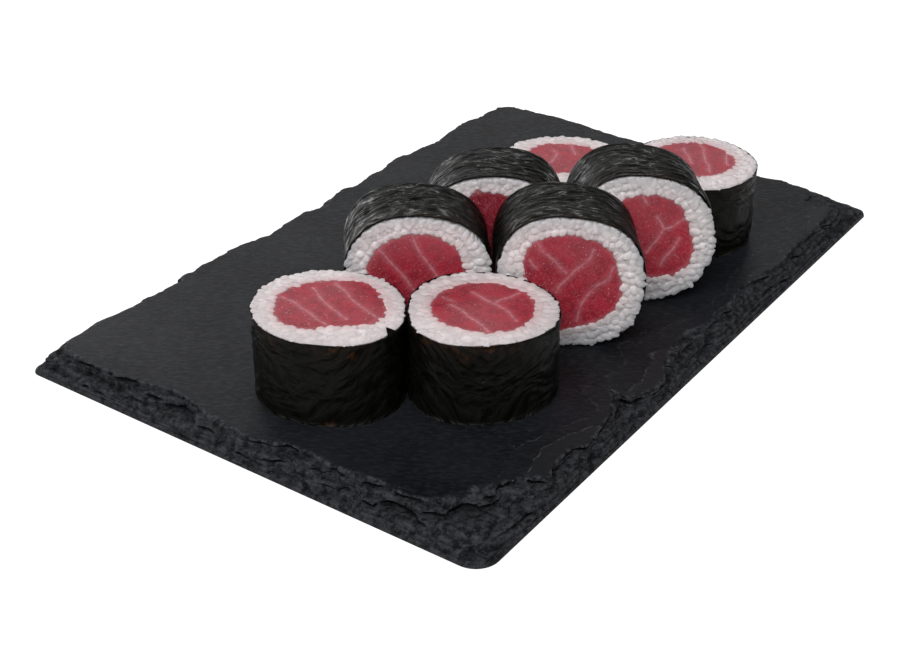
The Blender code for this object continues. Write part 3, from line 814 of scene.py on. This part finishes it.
def grain_layer(roll, end, spacing, sink, dome, bulge, swell, seed):
    """One layer of grains at one end of a roll: points (grain, vertex, xyz), middles, and the
    matrices that turn each grain into a unit ball.

    Each grain is a ball drawn out to its own length and turned its own way. It moves inwards as
    a whole until it swells past the nori by no more than its own share, and what would stand
    past the cut is pressed back to it by level - dome + dome tanh(excess / dome)."""
    rng = np.random.default_rng(seed + 1)
    ball = unit_grain()[0]
    spots = spread_grains(roll, spacing, seed)
    count = len(spots)
    width = GRAIN_WIDTH / 2 * rng.uniform(0.88, 1.16, count)
    flatness = rng.uniform(0.85, 1.0, count)
    length = GRAIN_LENGTH / 2 * rng.uniform(0.75, 1.1, count)
    axes = np.stack([width, width * flatness, length], axis=1)
    heading = rng.uniform(0, math.tau, count)
    lean = np.arccos(rng.uniform(0.1, 1.0, count))
    cos_l, sin_l, cos_h, sin_h = np.cos(lean), np.sin(lean), np.cos(heading), np.sin(heading)
    turn = np.stack([np.stack([cos_l * cos_h, -sin_h, sin_l * cos_h], 1),
                     np.stack([cos_l * sin_h, cos_h, sin_l * sin_h], 1),
                     np.stack([-sin_l, 0 * lean, cos_l], 1)], axis=1)
    points = np.einsum("gvi,gji->gvj", ball[None] * axes[:, None, :], turn)
    half = roll.length / 2
    # The grain's middle lies so far down that its crest comes to the cut or a little past it.
    crest = np.sqrt((width * sin_l) ** 2 + (length * cos_l) ** 2)
    depth = half + bulge - sink - crest + rng.uniform(*PRESSED[roll.lying], count)
    middles = np.concatenate([spots, depth[:, None]], axis=1)
    points = points + middles[:, None, :]
    # A grain beside the nori moves in as a whole until it reaches no further than its own limit.
    own_swell = swell * rng.uniform(0.35, 1.1, count)
    if roll.lying:
        own_swell = own_swell * (0.3 + 0.7 * smooth((14 - spots[:, 1]) / 14))
    if roll.number == 1:
        # Nothing swells over the torn tip.
        beside = np.degrees(np.arctan2(spots[:, 1], spots[:, 0])) - TORN_TIP[0]
        own_swell = own_swell * smooth(np.abs(beside) / TORN_TIP[1] - 0.5)
    distance = np.hypot(points[..., 0], points[..., 1])
    past = distance - roll_reach(roll, points)
    inward = np.clip(past.max(axis=1) + 1.1 - own_swell, 0, 1.5)
    shift = spots / np.hypot(*spots.T)[:, None] * inward[:, None]
    points[..., :2] -= shift[:, None, :]
    middles[:, :2] -= shift
    level = half + bulge - sink + rng.uniform(-0.5, 0.5, count)[:, None] * dome * 0.7
    excess = (points[..., 2] - level + dome) / dome
    pressed = level - dome + dome * np.tanh(np.maximum(excess, 0))
    points[..., 2] = np.where(excess > 0, pressed, points[..., 2])
    distance = np.hypot(points[..., 0], points[..., 1])
    swell = own_swell[:, None] * smooth((points[..., 2] - half + 0.5) / 0.5)
    limit = roll_reach(roll, points) - 0.9 + swell
    over = np.maximum(distance - limit + 0.25, 0)
    kept = np.where(over > 0, limit - 0.25 + 0.25 * np.tanh(over / 0.25), distance)
    points[..., :2] *= (kept / distance)[..., None]
    if roll.lying:
        points[..., 1] = np.maximum(points[..., 1], -(roll.axis_height - 0.1))
    to_ball = turn.transpose(0, 2, 1) / axes[:, :, None]
    if end < 0:
        points, middles, to_ball = points * MIRRORED, middles * MIRRORED, to_ball * MIRRORED
    return points, middles, to_ball


def fused(points, faces, voxel, rounds):
    """One closed skin round overlapping closed shapes, on a grid of the voxel's size, with each
    point drawn half way to its neighbours a few times: its points and its quads."""
    rough = build_mesh("fusing", np.asarray(points) / MM, faces)
    holder = bpy.data.objects.new("fusing", rough)
    bpy.context.scene.collection.objects.link(holder)
    fuse = holder.modifiers.new("fuse", "REMESH")
    fuse.mode = "VOXEL"
    fuse.voxel_size = voxel
    soften = holder.modifiers.new("soften", "SMOOTH")
    soften.iterations = rounds
    made = holder.evaluated_get(bpy.context.evaluated_depsgraph_get()).to_mesh()
    found = np.empty(len(made.vertices) * 3, dtype=np.float32)
    made.vertices.foreach_get("co", found)
    corners = np.empty(len(made.loops), dtype=np.int32)
    made.loops.foreach_get("vertex_index", corners)
    bpy.data.objects.remove(holder)
    bpy.data.meshes.remove(rough)
    return found.reshape(-1, 3).astype(float), corners.reshape(-1, 4)


def rice_ring(roll, nori_gap, fish_gap, floor_gap, section):
    """A closed ring of rice between the nori and the fish. Its section is a loop of (share of
    the way from the nori to the fish, level along the roll)."""
    columns = 120
    angles = np.arange(columns) * math.tau / columns
    outer_reach = reach_of(roll.radius, roll.lobes, angles) - nori_gap
    outer_x, outer_y = outer_reach * np.cos(angles), outer_reach * np.sin(angles)
    if roll.lying:
        outer_y = np.maximum(outer_y, -(roll.axis_height - floor_gap))
    inner_reach = fish_reach(roll, angles) + fish_gap
    inner_x = roll.fish_x + inner_reach * np.cos(angles)
    inner_y = roll.fish_y + inner_reach * np.sin(angles)
    rings = []
    for share, level in section:
        x = outer_x * (1 - share) + inner_x * share
        y = outer_y * (1 - share) + inner_y * share
        rings.append(np.stack([x, y, np.full(columns, level)], axis=-1))
    return np.concatenate(rings), ring_faces(len(rings), columns, looped=True)


def build_rice_end(roll, end):
    """The grains at one end, stuck to each other and to a slab of rice behind them: points, quads
    and, for each point, the fish's stain, its grain's own tone, how near it is to a seam between
    grains, and how near to the nori, which on a lying roll also carries painted shade towards
    the bottom of the face."""
    ball, quads, triangles = unit_grain()
    half = roll.length / 2
    dome, bulge = (0.42, 0.42) if roll.lying else (0.3, 0.32)
    swell = (2.2 if end > 0 else 0.0) if roll.lying else 1.8
    top, deep = half + (-0.05 if roll.lying else 0.1), half - 2.6
    slab, faces = rice_ring(roll, 1.3, 0.9, 0.6, (
        (0, deep), (0, top - 0.35), (0.08, top), (0.5, top), (0.92, top), (1, top - 0.35), (1, deep),
        (0.66, deep), (0.33, deep)))
    if end < 0:
        slab, faces = slab * MIRRORED, [group[:, ::-1] for group in faces]
    points = [slab]
    middles, to_ball, offset = [], [], len(slab)
    for spacing, sink in ((2.35, 0.0), (2.3, 0.3)):
        seed = roll.number * 1000 + int(sink * 100) + (500 if end < 0 else 0)
        grains, centres, matrices = grain_layer(roll, end, spacing, sink, dome, bulge, swell, seed)
        starts = offset + np.arange(len(grains))[:, None, None] * len(ball)
        faces.append((starts + quads[None, :, ::end]).reshape(-1, 4))
        faces.append((starts + triangles[None, :, ::end]).reshape(-1, 3))
        points.append(grains.reshape(-1, 3))
        middles.append(centres)
        to_ball.append(matrices)
        offset += len(grains) * len(ball)
    # The back end is never seen close, so it takes a coarser grid.
    voxel = VOXEL if end > 0 else 1.5 * VOXEL
    found, corners = fused(np.concatenate(points), faces, voxel, 3)
    middles, to_ball = np.concatenate(middles), np.concatenate(to_ball)
    rng = np.random.default_rng(roll.number * 77 + end)
    own_tone = rng.uniform(0, 1, len(middles))
    nearest, second = np.full(len(found), 9.0), np.full(len(found), 9.0)
    tone = np.zeros(len(found))
    for middle, matrix, shade in zip(middles, to_ball, own_tone):
        away = np.linalg.norm((found - middle) @ matrix.T, axis=1)
        closer = away < nearest
        second = np.where(closer, nearest, np.minimum(second, away))
        tone = np.where(closer, shade, tone)
        nearest = np.minimum(nearest, away)
    seam = (1 - smooth((second - nearest) / 0.26)) * (1.0 if roll.lying else 0.5)
    flat = found[:, :2] - np.array([roll.fish_x, roll.fish_y])
    beyond = np.hypot(flat[:, 0], flat[:, 1]) - fish_reach(roll, np.arctan2(flat[:, 1], flat[:, 0]))
    stain = np.clip(1 - beyond / 3.4, 0, 1) ** 1.5 * (0.55 + 0.45 * tone) * (0.3 if roll.lying else 0.55)
    stain = stain + (0.0 if roll.lying else 0.12)
    distance = np.hypot(found[:, 0], found[:, 1])
    inside = roll_reach(roll, found) - distance
    # On a lying roll the face is painted greyer towards its bottom: painted shade.
    low = smooth(-found[:, 1] / 20) if roll.lying else 0
    edge = smooth(1 - inside / (3.6 + 3 * low)) * (0.5 + 0.5 * tone)
    edge = edge * (0.8 + 0.2 * low if roll.lying else 0.25)
    edge = np.maximum(edge, 0.75 * low ** 2 * (0.4 + 0.6 * tone))
    return found, corners, stain, tone, seam, edge


def build_grains(roll, material):
    """The sticky grains at the ends that show, as one mesh."""
    ends = (1, -1) if roll.lying else (1,)
    made = [build_rice_end(roll, end) for end in ends]
    first = np.concatenate([[0], np.cumsum([len(part[0]) for part in made])])
    points = np.concatenate([part[0] for part in made])
    corners = np.concatenate([part[1] + start for part, start in zip(made, first)])
    attributes = {key: np.concatenate([part[2 + place] for part in made])
                  for place, key in enumerate(("stain", "tone", "seam", "edge"))}
    mesh = build_mesh(f"rice_grains_{roll.number}", placed(roll, points), [corners], attributes)
    return show(mesh.name, mesh, material, "rice", f"rice_{roll.number}")


def build_rice_bed(roll, material):
    """The pressed rice inside, a ring between the fish and the nori from end to end."""
    half = roll.length / 2
    end = half - 1.2
    foot = end if roll.lying else half
    points, faces = rice_ring(roll, 1.6, 0.5, 0.9, ((0, -foot), (0, end), (1, end), (1, -foot)))
    none = np.zeros(len(points))
    attributes = {"stain": none, "tone": none + 0.5, "seam": none, "edge": none}
    mesh = build_mesh(f"rice_bed_{roll.number}", placed(roll, points), faces, attributes)
    return show(mesh.name, mesh, material, "rice", f"rice_{roll.number}")


def sinew_field(x, y, marks):
    """For each point: the signed distance in mm from a sinew and how strong the sinew is beside it.

    The sinew is a smooth curve through its marks that wanders by a third of a millimetre, and
    it fades out at both ends."""
    marks = np.array(marks)
    spots = np.linspace(0, 1, 90)
    knots = np.linspace(0, 1, len(marks))
    slopes = np.gradient(marks, knots, axis=0)
    cell = np.clip(np.searchsorted(knots, spots, side="right") - 1, 0, len(marks) - 2)
    width = knots[1]
    t = ((spots - knots[cell]) / width)[:, None]
    curve = ((2 * t ** 3 - 3 * t ** 2 + 1) * marks[cell] + (t ** 3 - 2 * t ** 2 + t) * width * slopes[cell]
             + (3 * t ** 2 - 2 * t ** 3) * marks[cell + 1] + (t ** 3 - t ** 2) * width * slopes[cell + 1])
    wander = np.stack([curve[:, 1] * 0.9 + marks[0, 0], curve[:, 0] * 1.1 + marks[0, 1]], axis=1)
    curve = curve + 0.16 * np.sin(wander)
    ahead = np.gradient(curve, axis=0)
    ahead /= np.hypot(ahead[:, 0], ahead[:, 1])[:, None]
    gap_x = x[:, None] - curve[None, :, 0]
    gap_y = y[:, None] - curve[None, :, 1]
    nearest = np.argmin(gap_x ** 2 + gap_y ** 2, axis=1)
    row = np.arange(len(x))
    side = ahead[nearest, 0] * gap_y[row, nearest] - ahead[nearest, 1] * gap_x[row, nearest]
    past = ahead[nearest, 0] * gap_x[row, nearest] + ahead[nearest, 1] * gap_y[row, nearest]
    strength = smooth(spots[nearest] / 0.04) * smooth((1 - spots[nearest]) / 0.04) * (np.abs(past) < 0.6)
    return np.stack([side, strength, 0 * side], axis=1)


def build_tuna(roll, material):
    """The core: rings of its outline shrunk to the middle over each end, joined by a plain side.
    The cut ends are a touch uneven and dip a little under the rice."""
    columns = 230
    half = roll.length / 2
    angles = np.arange(columns) * math.tau / columns
    edge = fish_reach(roll, angles) + 1.2
    shares = np.concatenate([[0.004], np.linspace(0.03, 0.97, 38), [1.0]])
    low_shares = shares if roll.lying else np.array([0.004, 1.0])
    share = np.concatenate([low_shares, shares[::-1]])
    end = np.concatenate([-np.ones(len(low_shares)), np.ones(len(shares))])
    x = edge[None, :] * share[:, None] * np.cos(angles)
    y = edge[None, :] * share[:, None] * np.sin(angles)
    sag = 0.4 * np.clip((share - 0.93) / 0.07, 0, 1) ** 2
    uneven = 0.1 * np.sin(x / 3.1 + roll.number) * np.cos(y / 4.3 - roll.number)
    level = end[:, None] * (half + 0.05 + uneven - sag[:, None])
    if not roll.lying:
        level[:len(low_shares)] = -half
    points = np.stack([x + roll.fish_x, y + roll.fish_y, level], axis=-1).reshape(-1, 3)
    faces = ring_faces(len(share), columns, filled=True)
    inward = (edge[None, :] * (1 - share[:, None])).ravel()
    attributes = {"rim": 0.35 * smooth(1 - (inward - 1.0) / 1.7),
                  "upper": UPPER_PALE.get(roll.number, 0.0) * smooth((points[:, 1] + 1) / 14),
                  "deep": np.full(len(points), DEEP_RED_AND_SHADE.get(roll.number, 0.0))}
    lines = SINEWS[roll.number]
    for slot in range(SINEW_SLOTS):
        field = np.tile([9.0, 0, 0], (len(points), 1))
        if slot < len(lines):
            field = sinew_field(points[:, 0], points[:, 1], lines[slot])
        # Sinews fade where the fish is painted deeper red or shaded.
        field[:, 1] *= 1 - DEEP_RED_AND_SHADE.get(roll.number, 0.0)
        attributes[f"sinew_{slot + 1}"] = field
    first = np.array(SINEWS[roll.number][0])
    run = first[-1] - first[0]
    fibre = math.atan2(run[1], run[0]) + math.pi / 2
    u = points[:, 0] * math.cos(fibre) + points[:, 1] * math.sin(fibre) + roll.number * 40
    v = -points[:, 0] * math.sin(fibre) + points[:, 1] * math.cos(fibre)
    corners = np.concatenate([group.ravel() for group in faces])
    mesh = build_mesh(f"tuna_core_{roll.number}", placed(roll, points), faces, attributes,
                      np.stack([u, v], axis=1)[corners])
    return show(mesh.name, mesh, material, "tuna", f"tuna_{roll.number}")


# ---------------------------------------------------------------- floor, light and camera

def build_floor():
    """A wide, plain, white floor."""
    values = {"Base Color": srgb("#8c8c8c"), "Roughness": 0.9, "Emission Color": (1, 1, 1, 1),
              "Emission Strength": 0.93}
    material = new_material("matt_white_floor", values)[0]
    bpy.ops.mesh.primitive_plane_add(size=40, location=(0, 0, -0.0003))
    floor = bpy.context.object
    floor.name = "floor"
    floor.data.materials.append(material)
    # It shows as white but lends dark things beside it no light, as a dark cloth round them would.
    floor.visible_diffuse = False


def add_softbox(name, place, aim, size, power):
    """A soft light of a width and height in metres that faces its aim."""
    lamp = bpy.data.lights.new(name, "AREA")
    lamp.shape = "RECTANGLE"
    lamp.size, lamp.size_y = size
    lamp.energy = power
    holder = bpy.data.objects.new(name, lamp)
    holder.location = place
    holder.rotation_euler = (Vector(aim) - Vector(place)).to_track_quat("-Z", "Y").to_euler()
    bpy.context.scene.collection.objects.link(holder)


def light_scene():
    """A big soft light high in front, two weaker ones low at the back and the left, and a dim room."""
    ahead = Vector((-math.sin(VIEW_HEADING), math.cos(VIEW_HEADING), 0))
    left = Vector((-math.cos(VIEW_HEADING), -math.sin(VIEW_HEADING), 0))
    add_softbox("front_softbox", ahead * -1.35 + left * 0.3 + Vector((0, 0, 1.36)), (0, 0, 0), (1.3, 1.3), 32)
    add_softbox("back_softbox", ahead * 1.05 + left * 0.3 + Vector((0, 0, 0.6)), (0, 0, 0), (1.6, 0.25), 4.3)
    add_softbox("left_softbox", ahead * 0.9 + left * 0.7 + Vector((0, 0, 0.2)), (0, 0, 0), (0.7, 0.3), 2.1)
    world = bpy.data.worlds.new("room")
    world.use_nodes = True
    world.node_tree.nodes["Background"].inputs["Color"].default_value = (1, 1, 1, 1)
    world.node_tree.nodes["Background"].inputs["Strength"].default_value = 0.1
    bpy.context.scene.world = world
    bpy.context.scene.view_settings.view_transform = "Standard"


def place_camera():
    """A camera off the board's near left corner, looking down by 30 degrees."""
    data = bpy.data.cameras.new("camera")
    data.sensor_width = 36
    data.lens = 59.36
    data.clip_start = 0.02
    data.clip_end = 20
    camera = bpy.data.objects.new("camera", data)
    pitch, heading, roll = math.radians(30.32), math.radians(-55.615), math.radians(0.83)
    right = Vector((math.cos(heading), math.sin(heading), 0))
    flat = Vector((-math.sin(heading), math.cos(heading), 0))
    forward = flat * math.cos(pitch) - Vector((0, 0, math.sin(pitch)))
    up = right.cross(forward)
    across = right * math.cos(roll) + up * math.sin(roll)
    upward = up * math.cos(roll) - right * math.sin(roll)
    turn = Matrix((across, upward, -forward)).transposed()
    camera.matrix_world = Matrix.Translation((-0.36088, -0.23076, 0.23073)) @ turn.to_4x4()
    bpy.context.scene.collection.objects.link(camera)
    bpy.context.scene.camera = camera


# ---------------------------------------------------------------- everything

def main():
    build_board(make_slate())
    combed_nori = make_nori("combed_nori", 1.0, 1.22, 0.6, 0.33 * MM)
    crinkled_nori = make_nori("crinkled_nori", 0.0, 1.16, 0.42, 0.8 * MM)
    grains = make_rice("steamed_rice_grains", "#fbf4f4", "#dda5aa", "#d4cdcd", "#90969b")
    bed = make_rice("pressed_rice_bed", "#e6dddb", "#c99a9a", "#d0c6c3", "#b4b8bc")
    tuna = make_tuna()
    for roll in ROLLS:
        build_nori(roll, combed_nori if roll.lying else crinkled_nori)
        build_grains(roll, grains)
        build_rice_bed(roll, bed)
        build_tuna(roll, tuna)
    build_floor()
    light_scene()
    place_camera()


main()
